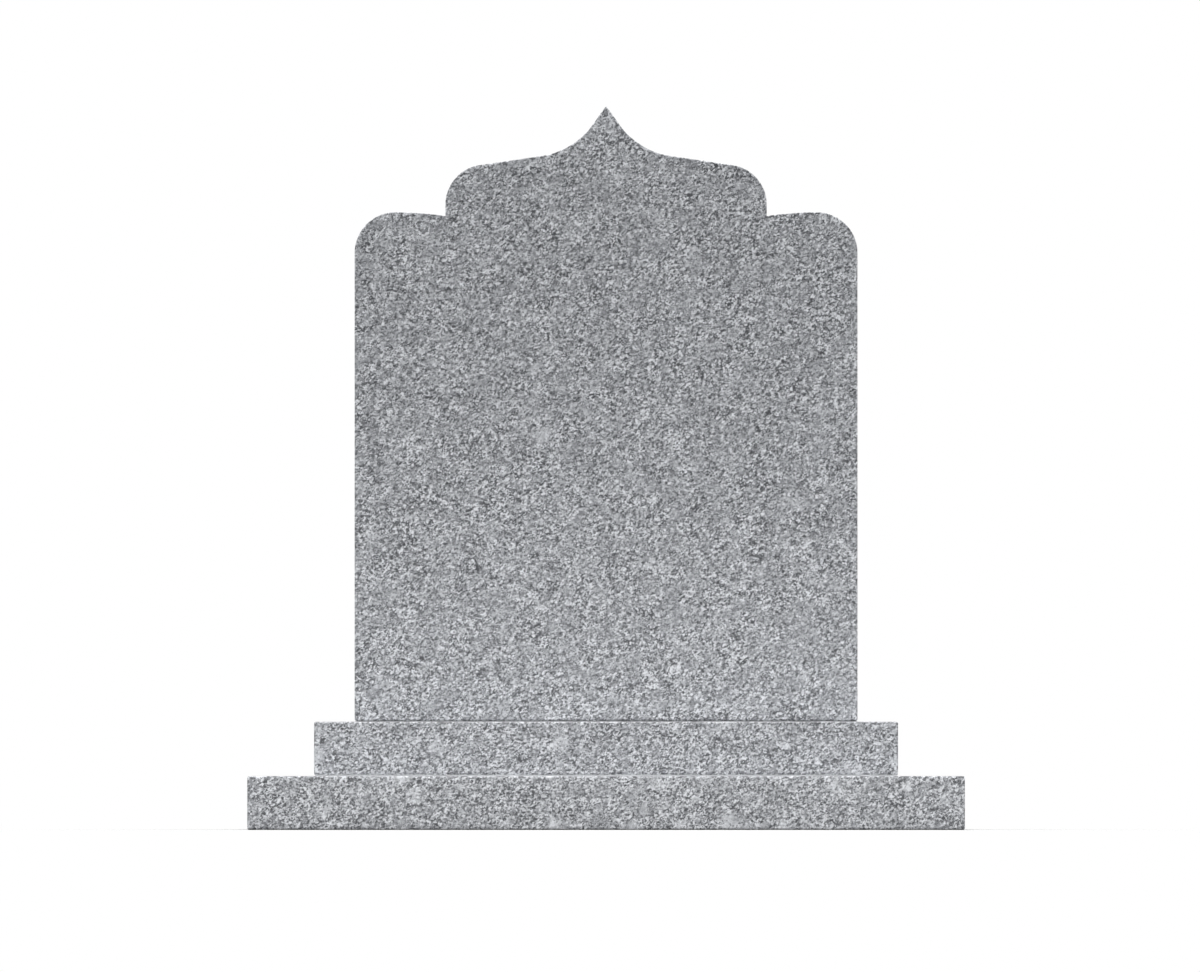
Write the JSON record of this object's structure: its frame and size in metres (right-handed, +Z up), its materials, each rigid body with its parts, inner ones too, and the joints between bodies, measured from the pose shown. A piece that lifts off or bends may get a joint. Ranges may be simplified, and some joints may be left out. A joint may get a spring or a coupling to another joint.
{
  "type": "headstone",
  "caption": "Upright granite memorial tablet with an ogee pointed crown and round shoulders, bedded on a stepped base of wider slabs, with a bare front.",
  "frame": {"origin": "middle of the lower base's underside, on the ground", "axes": "+Z up, -Y out of the bare front face, +X to the right seen from the front"},
  "size_m": [1, 0.485, 1.012],
  "materials": {
    "granite": "honed light grey granite, fine to medium grain",
    "setting_compound": "white cement setting compound, kept back a little from the faces"
  },
  "bodies": {
    "root": {"headstone_tablet": "granite", "tablet_bed_joint": "setting_compound", "upper_base": "granite", "base_bed_joint": "setting_compound", "lower_base": "granite"}
  },
  "joints": []
}
